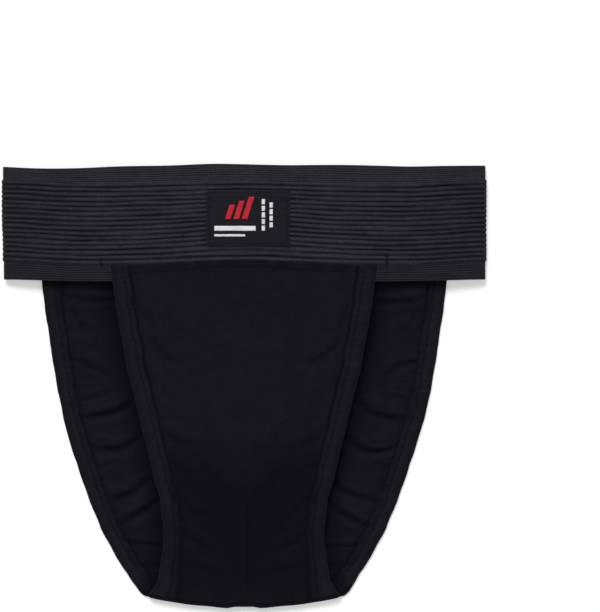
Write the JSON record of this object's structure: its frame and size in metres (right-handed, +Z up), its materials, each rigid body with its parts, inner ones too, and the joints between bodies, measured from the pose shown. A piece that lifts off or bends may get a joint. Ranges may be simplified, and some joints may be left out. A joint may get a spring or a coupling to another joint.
{
  "type": "athletic supporter",
  "caption": "Pull-on gym supporter with a covered back: a wide ribbed waist elastic, a bulged front with a cup pocket behind it, a flat seat panel and two elastic leg hems.",
  "frame": {"origin": "on the table, under the middle of the laid garment's outline", "axes": "+X across the waist towards the wearer's left, +Y from the crotch to the waist edge, +Z up from the table, out of the garment's front"},
  "size_m": [0.326, 0.298, 0.0217],
  "materials": {
    "ribbed_elastic": "ribbed knit",
    "tape": "twill weave",
    "label": "woven",
    "jersey": "fine jersey knit",
    "leg_elastic": "braided",
    "lining": "fine jersey knit"
  },
  "bodies": {
    "root": {"waistband_elastic": "ribbed_elastic", "waistband_join_tape": "tape", "woven_label": "label", "front_panel": "jersey", "back_panel": "jersey", "left_leg_elastic": "leg_elastic", "right_leg_elastic": "leg_elastic", "cup_pocket_lining": "lining", "crotch_lining": "lining"}
  },
  "joints": []
}
